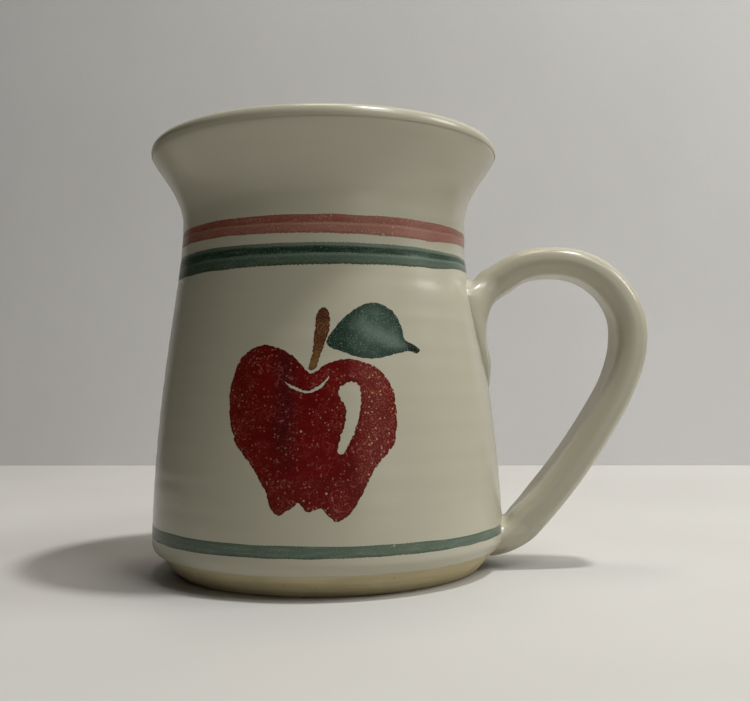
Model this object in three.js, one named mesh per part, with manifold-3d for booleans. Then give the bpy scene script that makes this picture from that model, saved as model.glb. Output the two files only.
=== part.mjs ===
// Hand-thrown stoneware mug with a flared neck, a pulled handle, painted bands and a stencilled apple.
// Millimetres, +Z up. The origin is the centre of the foot, and +X points to the handle.
import * as THREE from "three";
import { mergeVertices } from "three/addons/utils/BufferGeometryUtils.js";
import Module from "manifold-3d";

const wasm = await Module();
wasm.setup();

const at = (x, y) => new THREE.Vector2(x, y);

// ---------------------------------------------------------------- driving dimensions

const HEIGHT = 115.5; // foot to the top of the glazed lip
const GLAZE = 0.5; // glaze surface above the clay
const GLAZE_GAP = 0.1; // clearance between the clay and the glaze coat
const SEGMENTS = 48; // facets round the pot

const FOOT_RADIUS = 40.5; // flat, wire-cut base
const SHOULDER = { r: 47.5, z: 8.5 }; // widest point of the clay, above the trimmed bevel
const NECK = { r: 38.7, z: 94 }; // narrowest point of the clay
const LIP = { r: 45.35, z: HEIGHT - GLAZE - 2, radius: 2, start: -0.45 }; // centre of the rolled lip
const WALL = 4.4; // wall thickness at the neck
const FLOOR = 6.5; // clay thickness at the middle of the floor
const FLOOR_CORNER = { r: 42, z: 20, flat: 29 }; // where the inside wall turns into the floor

const FIT = 0.3; // clearance where clay joints, glaze and bands meet

const STRAP = {
  width: 14.5, // across at the upper end
  widening: 2, // added to the width by the lower end
  thickness: 8.6, // at the upper end
  thickening: 1.2, // added to the thickness by the lower end
  flat: 8.5, // flat part of the inner face at the upper end
  edge: 2.6, // depth of the rounded edge beside the inner face
  bevel: at(1.6, 0.6), // small bevel along each side of the flat part
};
const STRAP_RINGS = 27;

// Clay thumbed down the wall below the upper root; the lean is in degrees.
const TONGUE = { proud: 2.3, sunk: 0.3, width: 17, length: 22, height: 58, lean: -8 };

const FILM = { gap: 0.1, thickness: 0.25 }; // painted colour standing on the glaze
const BANDS = { rose: [86, 90.7], upperGreen: [78.2, 84.2], lowerGreen: [10.1, 13] }; // heights
const DECOR = {
  radius: 45, // cylinder on which the outlines are laid out
  heights: [16, 72], // enough to hold the whole decoration
  front: THREE.MathUtils.degToRad(-86.4), // azimuth of the middle of the apple
};

const ROOT_BITE = 1; // depth in the clay to which the coat is open under the handle's roots
const PRISM_REACH = 60; // from the axis to beyond the wall

// ---------------------------------------------------------------- solids

// A closed solid for booleans, from a geometry with duplicate vertices or none.
function solidOf(geometry) {
  const bare = geometry.clone();
  bare.deleteAttribute("normal");
  bare.deleteAttribute("uv");
  const merged = mergeVertices(bare, 1e-4);
  const index = merged.index.array;
  const triangles = [];
  for (let i = 0; i < index.length; i += 3) {
    const [a, b, c] = [index[i], index[i + 1], index[i + 2]];
    if (a !== b && b !== c && c !== a) triangles.push(a, b, c);
  }
  return new wasm.Manifold(new wasm.Mesh({
    numProp: 3,
    vertProperties: new Float32Array(merged.attributes.position.array),
    triVerts: new Uint32Array(triangles),
  }));
}

function geometryOf(solid) {
  const mesh = solid.getMesh();
  const geometry = new THREE.BufferGeometry();
  geometry.setAttribute("position", new THREE.BufferAttribute(mesh.vertProperties, 3));
  geometry.setIndex(new THREE.BufferAttribute(mesh.triVerts, 1));
  return geometry;
}

// Turns an (r, z) profile about the vertical axis.
function turned(profile) {
  const closed = profile[0].x > 0 ? [...profile, profile[0]] : profile;
  return solidOf(new THREE.LatheGeometry(closed, SEGMENTS).rotateX(Math.PI / 2));
}

// Skins a row of equal rings of Vector3 and closes both ends.
function lofted(rings) {
  const sides = rings[0].length;
  const points = rings.flat();
  const triangles = [];
  for (let i = 0; i + 1 < rings.length; i++) {
    for (let j = 0; j < sides; j++) {
      const a = i * sides + j;
      const b = i * sides + (j + 1) % sides;
      triangles.push(a, b, b + sides, a, b + sides, a + sides);
    }
  }
  const last = (rings.length - 1) * sides;
  for (let j = 1; j + 1 < sides; j++) {
    triangles.push(0, j + 1, j, last, last + j, last + j + 1);
  }
  const geometry = new THREE.BufferGeometry().setFromPoints(points);
  geometry.setIndex(triangles);
  return solidOf(geometry);
}

// ---------------------------------------------------------------- thrown profile

const curve = (n, ...handles) => new THREE.CubicBezierCurve(...handles).getPoints(n).slice(1);

// The bare foot: flat base, small rounded edge and the trimmed bevel up to the glaze line.
const FOOT = [at(FOOT_RADIUS, 0), at(FOOT_RADIUS + 1.2, 0.6), at(44.7, 4), at(46.2, 6)];

// The glazed clay: side, neck, flare, rolled lip, and back down the inside to the floor.
const shoulder = at(SHOULDER.r, SHOULDER.z);
const neck = at(NECK.r, NECK.z);
const innerNeck = at(NECK.r - WALL, NECK.z);
const lipOutside = at(
  LIP.r + LIP.radius * Math.cos(LIP.start),
  LIP.z + LIP.radius * Math.sin(LIP.start),
);
const lipInside = at(LIP.r - LIP.radius, LIP.z);
const floorCorner = at(FLOOR_CORNER.r, FLOOR_CORNER.z);
const rolledLip = new THREE.EllipseCurve(LIP.r, LIP.z, LIP.radius, LIP.radius, LIP.start, Math.PI);
const floorTurn = new THREE.QuadraticBezierCurve(
  floorCorner, at(FLOOR_CORNER.r, FLOOR + 0.7), at(FLOOR_CORNER.flat, FLOOR + 0.3));

const OUTSIDE = [
  FOOT[FOOT.length - 1],
  at(47.2, 7.6),
  shoulder,
  ...curve(5, shoulder, at(46.15, 53.5), at(NECK.r, 78), neck),
  ...curve(5, neck, at(NECK.r, 102), at(45.3, 108.4), lipOutside),
];
const INSIDE = [
  ...rolledLip.getPoints(5).slice(1),
  ...curve(5, lipInside, at(42.5, 110.6), at(innerNeck.x, 103.5), innerNeck),
  ...curve(4, innerNeck, at(innerNeck.x, 78), at(41.2, 53.5), floorCorner),
  ...floorTurn.getPoints(3).slice(1),
  at(0, FLOOR),
];
const GLAZED = [...OUTSIDE, ...INSIDE];
const SHARPEST_MITRE = 0.5; // cosine of half the sharpest turn that offset() follows

// Moves a profile along its normals, away from the clay when distance is positive.
function offset(profile, distance) {
  const runs = profile.slice(1).map((point, i) => point.clone().sub(profile[i]).normalize());
  return profile.map((point, i) => {
    const into = runs[Math.max(i - 1, 0)];
    const out = runs[Math.min(i, runs.length - 1)];
    const along = into.clone().add(out).normalize();
    const mitre = distance / Math.max(along.dot(out), SHARPEST_MITRE);
    const r = point.x > 0 ? point.x + along.y * mitre : 0;
    return at(r, point.x > 0 ? point.y - along.x * mitre : point.y + distance);
  });
}

// The outer wall filled to the axis, as the tool that shapes what is luted on to it.
function filledPot(distance) {
  const side = offset([...FOOT.slice(0, -1), ...OUTSIDE], distance);
  return turned([at(0, side[0].y), ...side, at(0, side[side.length - 1].y)]);
}

// Radius of the clay's outer wall at a height.
function wallRadius(z) {
  const k = OUTSIDE.findIndex((p) => p.y > z);
  const [low, high] = [OUTSIDE[k - 1], OUTSIDE[k]];
  return THREE.MathUtils.mapLinear(z, low.y, high.y, low.x, high.x);
}

// ---------------------------------------------------------------- handle

// Middle line of the pulled strap in the XZ plane, from the upper root to the lower root.
const HANDLE_LINE = new THREE.CatmullRomCurve3([
  [47.8, 77.6], [54.4, 81.45], [62.9, 82.6], [71.45, 80.8], [78.5, 75.4], [82.55, 67.8],
  [82.9, 59.15], [80, 49.35], [73.35, 37.45], [65.2, 25.55], [56.75, 15.25], [53.85, 12.1],
].map(([x, z]) => new THREE.Vector3(x, 0, z)), false, "centripetal");

// D-shaped section: a flat inner face, tight rounded edges and a domed outer face.
function strapSection(width, thickness) {
  const flat = width * STRAP.flat / STRAP.width / 2;
  const inner = -thickness / 2;
  const beside = flat + STRAP.bevel.x;
  const above = inner + STRAP.bevel.y;
  const dome = new THREE.EllipseCurve(
    0, inner + STRAP.edge, width / 2, thickness - STRAP.edge, 0, Math.PI);
  return [at(-beside, above), at(-flat, inner), at(flat, inner), at(beside, above), ...dome.getPoints(10)];
}

// Places a section across a direction in the XZ plane, its dome on the outer side.
function ring(centre, direction, width, thickness) {
  const side = new THREE.Vector3(0, 1, 0);
  const out = side.clone().cross(direction).normalize().negate();
  return strapSection(width, thickness).map((p) =>
    centre.clone().addScaledVector(side, p.x).addScaledVector(out, p.y));
}

const pointXZ = (x, z) => new THREE.Vector3(x, 0, z);

// The strap's section at a fraction of its length, moved on along the strap by shift.
function strapRing(u, shift = 0, grow = 0) {
  const direction = HANDLE_LINE.getTangentAt(u);
  const centre = HANDLE_LINE.getPointAt(u).addScaledVector(direction, shift);
  const width = STRAP.width + STRAP.widening * u;
  const thickness = STRAP.thickness + STRAP.thickening * u;
  return ring(centre, direction, width + 2 * grow, thickness + 2 * grow);
}

function handleStrap() {
  return lofted(Array.from({ length: STRAP_RINGS }, (_, i) => strapRing(i / (STRAP_RINGS - 1))));
}

// Roots of the handle, in order along the strap: [x, z, heading in degrees, width, thickness].
const UPPER_ROOT = [
  [39.2, 70.2, 5, 19.5, 15.5],
  [42.8, 71.4, 22, 17.6, 13],
  [45.6, 73.8, 38, 15.6, 10.4],
];
const LOWER_ROOT = [
  [50.6, 9.9, -144, 17, 10.6],
  [47.4, 8.6, -160, 18.4, 11],
  [41.8, 8.6, -178, 19.6, 11.4],
];

function rootRings(rows, grow) {
  return rows.map(([x, z, heading, width, thickness]) => {
    const angle = THREE.MathUtils.degToRad(heading);
    const direction = pointXZ(Math.cos(angle), Math.sin(angle));
    return ring(pointXZ(x, z), direction, width + 2 * grow, thickness + 2 * grow);
  });
}

// The thumb-pressed tongue that runs down the wall below the upper root.
function thumbTongue(grow) {
  const depth = TONGUE.proud + TONGUE.sunk;
  const tongue = new THREE.SphereGeometry(1, 20, 12);
  tongue.scale(depth + grow, TONGUE.width / 2 + grow, TONGUE.length / 2 + grow);
  tongue.rotateY(THREE.MathUtils.degToRad(TONGUE.lean));
  tongue.translate(wallRadius(TONGUE.height) + GLAZE - TONGUE.sunk, 0, TONGUE.height);
  return solidOf(tongue);
}

function upperRoot(grow) {
  const flare = lofted([...rootRings(UPPER_ROOT, grow), strapRing(0, -FIT, grow)]);
  return flare.add(thumbTongue(grow));
}

function lowerRoot(grow) {
  return lofted([strapRing(1, FIT, grow), ...rootRings(LOWER_ROOT, grow)]);
}

// ---------------------------------------------------------------- clay and glaze

function thrownBody() {
  return turned([at(0, 0), ...FOOT.slice(0, -1), ...GLAZED]);
}

// One continuous coat over the outside, the lip and the inside, open where the roots meet the clay.
function bodyGlaze() {
  const surface = offset(GLAZED, GLAZE);
  const underside = offset(GLAZED, GLAZE_GAP);
  const coat = turned([...underside.reverse(), ...surface]);
  const core = filledPot(-ROOT_BITE);
  const windows = upperRoot(FIT).add(lowerRoot(FIT)).subtract(core);
  return coat.subtract(windows);
}

// ---------------------------------------------------------------- painted decoration

// A closed ring standing on the glaze between two heights.
function band(from, to) {
  const inner = GLAZE + FILM.gap;
  const heights = [from, ...OUTSIDE.map((p) => p.y).filter((z) => z > from && z < to), to];
  const inside = heights.map((z) => at(wallRadius(z) + inner, z));
  const outside = heights.map((z) => at(wallRadius(z) + inner + FILM.thickness, z));
  return turned([...outside, ...inside.reverse()]);
}

// Outlines below are [distance round the wall, height], clear of one another.
const APPLE = [
  [-0.3, 52.3], [3, 54.3], [7.5, 55.6], [12, 55], [16.5, 52.7], [19.2, 48.5], [19.8, 42],
  [18.8, 35.8], [14.2, 30.4], [11.1, 24.8], [8.2, 20.2], [5, 18.3], [2.8, 20.2], [1.7, 21.6],
  [-1.2, 20.4], [-3.1, 22.6], [-5.6, 20.8], [-7.5, 19.8], [-9.5, 21.6], [-10.8, 25.4], [-14.4, 31.2],
  [-18.8, 36.8], [-20.8, 46], [-20, 52], [-17.6, 56.7], [-12.5, 59.2], [-7.3, 58], [-3.6, 55.6],
];
const SMILE = [[-6.6, 50.4], [-1.3, 48.3], [4.1, 51.6], [2, 49], [-1, 47.75], [-4.4, 48.75]];
const COMMA = [
  [8.7, 50.2], [6.1, 48.2], [6.6, 46.2], [7.7, 44.6], [7.6, 41.5], [5.7, 34], [6.7, 33.8],
  [8.3, 36.3], [10.6, 42], [11.2, 48], [10.3, 49.9],
];
const STEM = [[-0.8, 53.1], [0.5, 53.1], [1.9, 56.2], [3.1, 59.5], [4.4, 63.5], [3.8, 67.4],
  [2.6, 67.9], [1.2, 66.5], [0.5, 62], [0, 57.5]];
const LEAF = [
  [3.4, 59.2], [5.5, 63], [8.9, 66.2], [13, 68.6], [17, 68.9], [20.6, 67.2], [22.9, 63.5],
  [23.7, 60.1], [26.1, 59], [27.8, 57.6], [26.9, 56.8], [24.5, 57.3], [20, 56.5], [14.9, 55.6],
  [10.9, 56], [7, 57.3],
];

// A smooth outline, seen square on from the decoration's front.
function outline(points) {
  const loop = [...points, points[0]].map(([s, z]) => at(s, z));
  const radius = (z) => wallRadius(z) + GLAZE + FILM.gap;
  return new THREE.SplineCurve(loop).getPoints(2 * points.length).slice(0, -1)
    .map((p) => at(radius(p.y) * Math.sin(p.x / DECOR.radius), p.y));
}

// A straight prism of an outline, run out through the decorated side of the pot.
function prism(points) {
  const shape = new THREE.Shape(outline(points));
  const geometry = new THREE.ExtrudeGeometry(shape, { depth: PRISM_REACH, bevelEnabled: false });
  geometry.rotateX(Math.PI / 2);
  geometry.rotateZ(DECOR.front + Math.PI / 2);
  return solidOf(geometry);
}

// Cuts an outline, less its openings, from a thin ring standing on the glaze.
function film(points, openings = []) {
  const painted = band(...DECOR.heights).intersect(prism(points));
  return openings.reduce((rest, opening) => rest.subtract(prism(opening)), painted);
}

// ---------------------------------------------------------------- assembly

const finish = {
  clay: { color: 0xc9b78c, roughness: 0.9 },
  glaze: { color: 0xddd6bf, roughness: 0.3 },
  rose: { color: 0xa5625a, roughness: 0.4 },
  green: { color: 0x4f6b60, roughness: 0.4 },
  apple: { color: 0x7a1518, roughness: 0.4 },
  stem: { color: 0x6d4630, roughness: 0.45 },
  leaf: { color: 0x3f6156, roughness: 0.4 },
};

const mug = new THREE.Group();

function addPiece(name, solid, look) {
  const material = new THREE.MeshStandardMaterial({ ...finish[look], metalness: 0 });
  const mesh = new THREE.Mesh(geometryOf(solid), material);
  mesh.name = name;
  mug.add(mesh);
}

const seat = filledPot(FIT);

addPiece("thrown_body", thrownBody(), "clay");
addPiece("body_glaze", bodyGlaze(), "glaze");
addPiece("pulled_handle", handleStrap(), "glaze");
addPiece("upper_handle_joint", upperRoot(0).subtract(seat), "glaze");
addPiece("lower_handle_joint", lowerRoot(0).subtract(seat), "glaze");
addPiece("rose_band", band(...BANDS.rose), "rose");
addPiece("upper_green_band", band(...BANDS.upperGreen), "green");
addPiece("lower_green_band", band(...BANDS.lowerGreen).subtract(lowerRoot(FIT)), "green");
addPiece("apple_fruit", film(APPLE, [SMILE, COMMA]), "apple");
addPiece("apple_stem", film(STEM), "stem");
addPiece("apple_leaf", film(LEAF), "leaf");

export default mug;
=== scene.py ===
import math

import bmesh
import bpy
import numpy as np
from mathutils import Matrix, Vector
from mathutils.geometry import delaunay_2d_cdt


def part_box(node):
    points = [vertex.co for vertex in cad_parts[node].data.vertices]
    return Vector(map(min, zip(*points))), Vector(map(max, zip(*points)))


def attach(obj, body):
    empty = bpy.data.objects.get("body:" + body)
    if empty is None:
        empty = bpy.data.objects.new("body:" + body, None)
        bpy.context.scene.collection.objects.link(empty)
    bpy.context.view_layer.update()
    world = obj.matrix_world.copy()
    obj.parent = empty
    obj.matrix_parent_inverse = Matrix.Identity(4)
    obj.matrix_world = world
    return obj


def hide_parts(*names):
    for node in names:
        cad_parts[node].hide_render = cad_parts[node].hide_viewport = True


# Hand-thrown stoneware mug with a pulled handle, painted bands and a stencilled apple.
# Shapes are worked out in millimetres in the row frame: +Z up, origin at the centre of the foot,
# +X towards the handle. mesh_piece() turns them into metres.

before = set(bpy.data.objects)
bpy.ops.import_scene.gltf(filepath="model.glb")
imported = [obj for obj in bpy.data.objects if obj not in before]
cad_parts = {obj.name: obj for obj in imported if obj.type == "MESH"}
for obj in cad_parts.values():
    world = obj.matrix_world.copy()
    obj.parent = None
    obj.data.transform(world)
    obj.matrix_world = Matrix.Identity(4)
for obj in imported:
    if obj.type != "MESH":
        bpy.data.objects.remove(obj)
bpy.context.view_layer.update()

MM = 0.001

# Radii and heights of the clay, in millimetres as all lengths below.
GLAZE = 0.5  # glaze surface above the clay
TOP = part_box("body_glaze")[1][2] / MM  # top of the glazed lip
FOOT_RADIUS = 40.5
SHOULDER = np.array([47.5, 8.5])  # radius and height of the widest place
NECK = np.array([38.7, 94.0])  # and of the narrowest
LIP_RADIUS = 2.0
LIP = np.array([45.35, TOP - GLAZE - LIP_RADIUS])  # centre of the rolled lip
LIP_START = -0.45  # where the roll leaves the flare, as an angle about its centre
WALL = 4.4  # at the neck
FLOOR = 6.5  # clay height of the inside floor
FLOOR_CORNER = (42, 20)  # where the inside wall turns into the floor
GLAZE_LINE = 6.0  # clay height at which the coat ends
COAT_UNDER, COAT_UNDER_LIP = 0.12, 0.03  # underside of the coat, clear of the clay

DECOR_RADIUS = 45.0  # cylinder on which the decoration is laid out
DECOR_FRONT = math.radians(-86.4)  # azimuth of the middle of the apple
FILM = 0.05  # painted colour standing on the glaze
FILM_UNDER = -0.12  # underside of a film, in the glaze

ROUND = 2 * math.pi


# ---------------------------------------------------------------- curves


def bezier(handles, t):
    """Points at t of a Bezier curve of any degree; the handles may be whole arrays of points."""
    level = [np.asarray(h, float) for h in handles]
    while len(level) > 1:
        level = [a + (b - a) * t for a, b in zip(level, level[1:])]
    return level[0]


def stretch(count, *handles):
    """A Bezier stretch of the profile, without its first point."""
    t = np.linspace(0, 1, count + 1)[1:, None]
    return bezier(handles, t)


def smooth(edge0, edge1, x):
    """0 before edge0, 1 past edge1 and eased between them, whichever is the higher."""
    t = np.clip((np.asarray(x, float) - edge0) / (edge1 - edge0), 0, 1)
    return t * t * (3 - 2 * t)


def catmull(points, count, closed=False):
    """A centripetal Catmull-Rom curve through points, with count steps in each span."""
    points = np.asarray(points, float)
    if closed:
        ring = np.vstack([points[-1:], points, points[:2]])
    else:
        ring = np.vstack([2 * points[0] - points[1], points, 2 * points[-1] - points[-2]])
    out = []
    for p0, p1, p2, p3 in zip(ring, ring[1:], ring[2:], ring[3:]):
        spans = ((p0, p1), (p1, p2), (p2, p3))
        k = np.cumsum([0] + [math.sqrt(np.linalg.norm(b - a)) for a, b in spans])
        t = np.linspace(k[1], k[2], count, endpoint=False)[:, None]
        a1 = (k[1] - t) / (k[1] - k[0]) * p0 + (t - k[0]) / (k[1] - k[0]) * p1
        a2 = (k[2] - t) / (k[2] - k[1]) * p1 + (t - k[1]) / (k[2] - k[1]) * p2
        a3 = (k[3] - t) / (k[3] - k[2]) * p2 + (t - k[2]) / (k[3] - k[2]) * p3
        b1 = (k[2] - t) / (k[2] - k[0]) * a1 + (t - k[0]) / (k[2] - k[0]) * a2
        b2 = (k[3] - t) / (k[3] - k[1]) * a2 + (t - k[1]) / (k[3] - k[1]) * a3
        out.append((k[2] - t) / (k[2] - k[1]) * b1 + (t - k[1]) / (k[2] - k[1]) * b2)
    curve = np.vstack(out)
    return curve if closed else np.vstack([curve, points[-1:]])


def lengths(curve):
    """The length of a curve up to each of its points."""
    return np.concatenate([[0], np.cumsum(np.linalg.norm(np.diff(curve, axis=0), axis=1))])


def even_loop(curve, step):
    """The same closed curve with points about one step apart."""
    curve = np.vstack([curve, curve[:1]])
    length = lengths(curve)
    at = np.linspace(0, length[-1], int(round(length[-1] / step)), endpoint=False)
    return np.stack([np.interp(at, length, column) for column in curve.T], 1)


def wander(angle, seed, low, high, count=7):
    """A smooth random wave round a full turn, about 1 high, between low and high cycles a turn."""
    source = np.random.default_rng(seed)
    cycles = source.integers(low, high + 1, count)
    phases = source.random(count) * ROUND
    waves = [np.sin(n * angle + p) for n, p in zip(cycles, phases)]
    return sum(waves) * math.sqrt(2 / count) * 0.7


# ---------------------------------------------------------------- thrown profile

foot = np.vstack([
    [[FOOT_RADIUS, 0]],
    stretch(5, (FOOT_RADIUS, 0), (FOOT_RADIUS + 0.6, 0), (FOOT_RADIUS + 1.0, 0.2), (41.7, 0.6)),
    stretch(14, (41.7, 0.6), (43.3, 2.2), (45.0, 4.4), (46.2, GLAZE_LINE)),
])
roll_start = LIP + LIP_RADIUS * np.array([math.cos(LIP_START), math.sin(LIP_START)])
glazed = np.vstack([
    stretch(8, (46.2, GLAZE_LINE), (46.8, 6.8), (47.55, 7.7), SHOULDER),
    stretch(90, SHOULDER, (46.15, 53.5), (NECK[0], 78), NECK),
    stretch(40, NECK, (NECK[0], 102), (45.3, 108.4), roll_start),
])
lip_turn = np.linspace(LIP_START, math.pi, 31)[1:]
lip = LIP + LIP_RADIUS * np.stack([np.cos(lip_turn), np.sin(lip_turn)], 1)
inner_neck = (NECK[0] - WALL, NECK[1])
inside = np.vstack([
    stretch(40, lip[-1], (42.6, 111), (inner_neck[0], 103.5), inner_neck),
    stretch(60, inner_neck, (inner_neck[0], 78), (41.2, 53.5), FLOOR_CORNER),
    stretch(24, FLOOR_CORNER, (42, 11.2), (38.3, 6.9), (29, 6.8)),
    stretch(14, (29, 6.8), (20, 6.6), (10, FLOOR), (1.5, FLOOR)),
])
profile = np.vstack([foot, glazed, lip, inside])
along = np.gradient(profile, axis=0)
along /= np.linalg.norm(along, axis=1)[:, None]
normals = np.stack([along[:, 1], -along[:, 0]], 1)
outer_count = len(foot) + len(glazed)
outer, outer_normals = profile[:outer_count], normals[:outer_count]


def throwing(angle, z):
    """Height of the faint rings that the potter's fingers left on the outside."""
    spiral = angle / ROUND
    rings = (
        0.026 * np.sin(ROUND * (z / 6.4 + spiral) + 0.6)
        + 0.014 * np.sin(ROUND * (z / 3.7 - spiral) + 2.1)
        + 0.006 * np.sin(ROUND * (z / 1.9 + spiral))
    )
    return rings * smooth(10, 20, z) * (1 - 0.6 * smooth(88, 100, z)) * (1 - smooth(106, 111, z))


def side(z, lift):
    """Radius and height of the outer wall at clay height z, lifted along its normal."""
    nr = np.interp(z, outer[:, 1], outer_normals[:, 0])
    nz = np.interp(z, outer[:, 1], outer_normals[:, 1])
    return np.interp(z, outer[:, 1], outer[:, 0]) + lift * nr, z + lift * nz


def wall_point(angle, z, lift=0.0):
    """A point of the glazed outside, lift above the glaze."""
    angle, z = np.broadcast_arrays(np.asarray(angle, float), np.asarray(z, float))
    r, height = side(z, GLAZE + lift + throwing(angle, z))
    return np.stack([r * np.cos(angle), r * np.sin(angle), height], -1)


# ---------------------------------------------------------------- meshes

LEAN = 0.0035  # sideways for each unit of height
FLARE_PULL = 0.0055  # extra radius of the flare at the handle side, as a share
NECK_PUSH = 0.85  # depth of the dent above the handle


def thrown_by_hand(points):
    """The pot leans a little away from its handle, its flare is pulled out further there,
    and the pressure of luting the handle on left the neck above it slightly pushed in."""
    x, y, z = np.array(points, float).T
    pull = 1 + FLARE_PULL * smooth(98, 110, z) * x / np.maximum(np.hypot(x, y), 1)
    beside = smooth(22, 36, x) * (1 - smooth(44, 50, x))
    pushed = NECK_PUSH * beside * smooth(70, 80, z) * (1 - smooth(82, 94, z))
    return np.stack([x * pull - LEAN * z - pushed, y * pull, z], 1)


def mesh_piece(name, points, faces, sharp, attributes=None):
    """A closed, smooth-shaded mesh object from points in millimetres, with hard edges
    where its faces meet at more than sharp degrees."""
    mesh = bpy.data.meshes.new(name)
    mesh.from_pydata((thrown_by_hand(points) * MM).tolist(), [], faces)
    for label, values in (attributes or {}).items():
        data = mesh.attributes.new(label, "FLOAT", "POINT").data
        data.foreach_set("value", np.asarray(values, np.float32))
    work = bmesh.new()
    work.from_mesh(mesh)
    bmesh.ops.recalc_face_normals(work, faces=work.faces)
    work.to_mesh(mesh)
    work.free()
    mesh.shade_smooth()
    mesh.set_sharp_from_angle(angle=math.radians(sharp))
    piece = bpy.data.objects.new(name, mesh)
    bpy.context.scene.collection.objects.link(piece)
    return piece


def skin(name, grid, tips=None, **settings):
    """A closed skin over rows of points, each row a closed ring.
    With tips, the two end points close it; without, the last row joins the first."""
    rows, columns = grid.shape[:2]
    index = np.arange(rows * columns).reshape(rows, columns)
    beside = np.roll(index, -1, axis=1)
    if tips is None:
        after, beside_after = np.roll(index, -1, axis=0), np.roll(beside, -1, axis=0)
        first, second = index, beside
    else:
        first, second, after, beside_after = index[:-1], beside[:-1], index[1:], beside[1:]
    faces = np.stack([first, second, beside_after, after], -1).reshape(-1, 4).tolist()
    points = grid.reshape(-1, 3)
    if tips is not None:
        start, end = len(points), len(points) + 1
        points = np.vstack([points, np.asarray(tips, float)])
        faces += [[int(b), int(a), start] for a, b in zip(index[0], beside[0])]
        faces += [[int(a), int(b), end] for a, b in zip(index[-1], beside[-1])]
    return mesh_piece(name, points, faces, **settings)


def turn(radius, height, angles):
    """Rings of points from radii and heights, which may vary round the turn."""
    radius, height, angles = np.broadcast_arrays(radius, height, angles)
    return np.stack([radius * np.cos(angles), radius * np.sin(angles), height], -1)


def full_turn(columns):
    """Even angles round a full turn."""
    return np.linspace(0, ROUND, columns, endpoint=False)


def add_piece(piece, material, node):
    """Gives a piece its material, body and slot, and lets it stand for its CAD node."""
    piece.data.materials.append(material)
    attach(piece, "root")
    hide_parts(node)


# ---------------------------------------------------------------- clay body and glaze coat

CLAY_COLUMNS, COAT_COLUMNS = 224, 320


def clay_body():
    """The thrown clay: bare, trimmed bevel and wire-cut base, and the wall under the glaze."""
    angles = full_turn(CLAY_COLUMNS)[None, :]
    base_r = np.linspace(2.0, FOOT_RADIUS - 0.4, 44)[:, None]
    x, y = base_r * np.cos(angles), base_r * np.sin(angles)
    # The wire drags shell-shaped ridges across the base from one side.
    reach = np.hypot(x + 30, y - 26)
    ridges = 0.10 * (1 + np.sin(reach * 1.9 + 0.5 * np.sin(reach * 0.21)))
    hollow = 0.25 * (1 - (base_r / FOOT_RADIUS) ** 2)
    base = np.stack([x, y, (ridges + hollow) * (1 - smooth(36, 40, base_r))], -1)
    # Under the coat every fourth row is enough.
    glazed_from = len(foot) + 8
    keep = np.r_[0:glazed_from, glazed_from:len(profile):4]
    r, z = profile[keep, 0][:, None], profile[keep, 1][:, None]
    lathe = 0.03 * np.sin(z * 5.1 + 0.4 * np.sin(angles)) + 0.025 * wander(angles, 4, 2, 9)
    bevel = smooth(0.3, 1.4, z) * (1 - smooth(5.2, 5.9, z)) * (r > 40)
    r = r + lathe * bevel
    z = np.broadcast_to(z, r.shape)
    grid = np.concatenate([base, turn(r, z, angles)])
    tips = [(0, 0, 0.3), (0, 0, FLOOR)]
    return skin("clay_body", grid, tips, sharp=50)


def glaze_coat():
    """The glaze over outside, lip and inside, with a rounded lower edge above the bevel."""
    angles = full_turn(COAT_COLUMNS)[None, :]
    edge = 0.28 * wander(angles, 11, 1, 4) + 0.12 * wander(angles, 12, 6, 16)
    edge = edge + 0.05 * wander(angles, 13, 22, 60)

    def rows_at(z, lift):
        """Outside rows at heights that follow the edge's waves near the bottom."""
        z = np.asarray(z, float)[:, None]
        height = z + edge * (1 - smooth(GLAZE_LINE, 13, z))
        lift = np.asarray(lift, float)[:, None] + throwing(angles, height)
        r, h = side(height, lift)
        return turn(r, h, angles)

    def rows_on(points, directions, lift):
        """Rows turned from points of the profile, lifted in their own directions."""
        placed = points + directions * np.asarray(lift, float).reshape(-1, 1)
        return turn(placed[:, :1], placed[:, 1:], angles)

    # The coat's lower edge is a roll, a little thicker than the coat above it.
    above = np.array([
        0, 0.03, 0.08, 0.16, 0.27, 0.4, 0.56, 0.75, 1.0, 1.3, 1.7, 2.2, 2.8, 3.5, 4.5, 5.5,
    ])
    roll = GLAZE * np.sqrt(1 - (1 - np.clip(above / 0.6, 0, 1)) ** 2)
    roll = roll + 0.10 * np.exp(-((above - 0.75) / 0.55) ** 2) * (above > 0)
    upper = np.concatenate([np.arange(12.5, 92, 1.0), np.arange(92, LIP[1], 0.6)])
    inner_from = outer_count + len(lip)
    lip_part = slice(outer_count, inner_from)
    inside_rows = rows_on(profile[inner_from:][::-2], normals[inner_from:][::-2], GLAZE)
    lip_rows = rows_on(profile[lip_part][::-1], normals[lip_part][::-1], GLAZE)
    outside_rows = rows_at(upper[::-1], np.full(len(upper), GLAZE))
    edge_rows = rows_at((GLAZE_LINE + above)[::-1], roll[::-1])
    under_z = np.concatenate([[6.3], np.arange(7, LIP[1], 4)])
    under_rows = rows_at(under_z, np.full(len(under_z), COAT_UNDER))
    under_lip = rows_on(profile[outer_count:][::8], normals[outer_count:][::8], COAT_UNDER_LIP)
    grid = np.concatenate([inside_rows, lip_rows, outside_rows, edge_rows, under_rows, under_lip])
    tips = [(0, 0, FLOOR + GLAZE), (0, 0, FLOOR + COAT_UNDER_LIP)]
    return skin("glaze_coat", grid, tips, sharp=60)


# ---------------------------------------------------------------- handle

# Middle line of the strap in the XZ plane, from the upper root to the lower.
HANDLE_LINE = [
    (47.8, 77.6), (54.4, 81.45), (62.9, 82.6), (71.45, 80.8), (78.5, 75.4), (82.55, 67.8),
    (82.9, 59.15), (80.0, 49.35), (73.35, 37.45), (65.2, 25.55), (56.75, 15.25), (53.85, 12.1),
]
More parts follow.
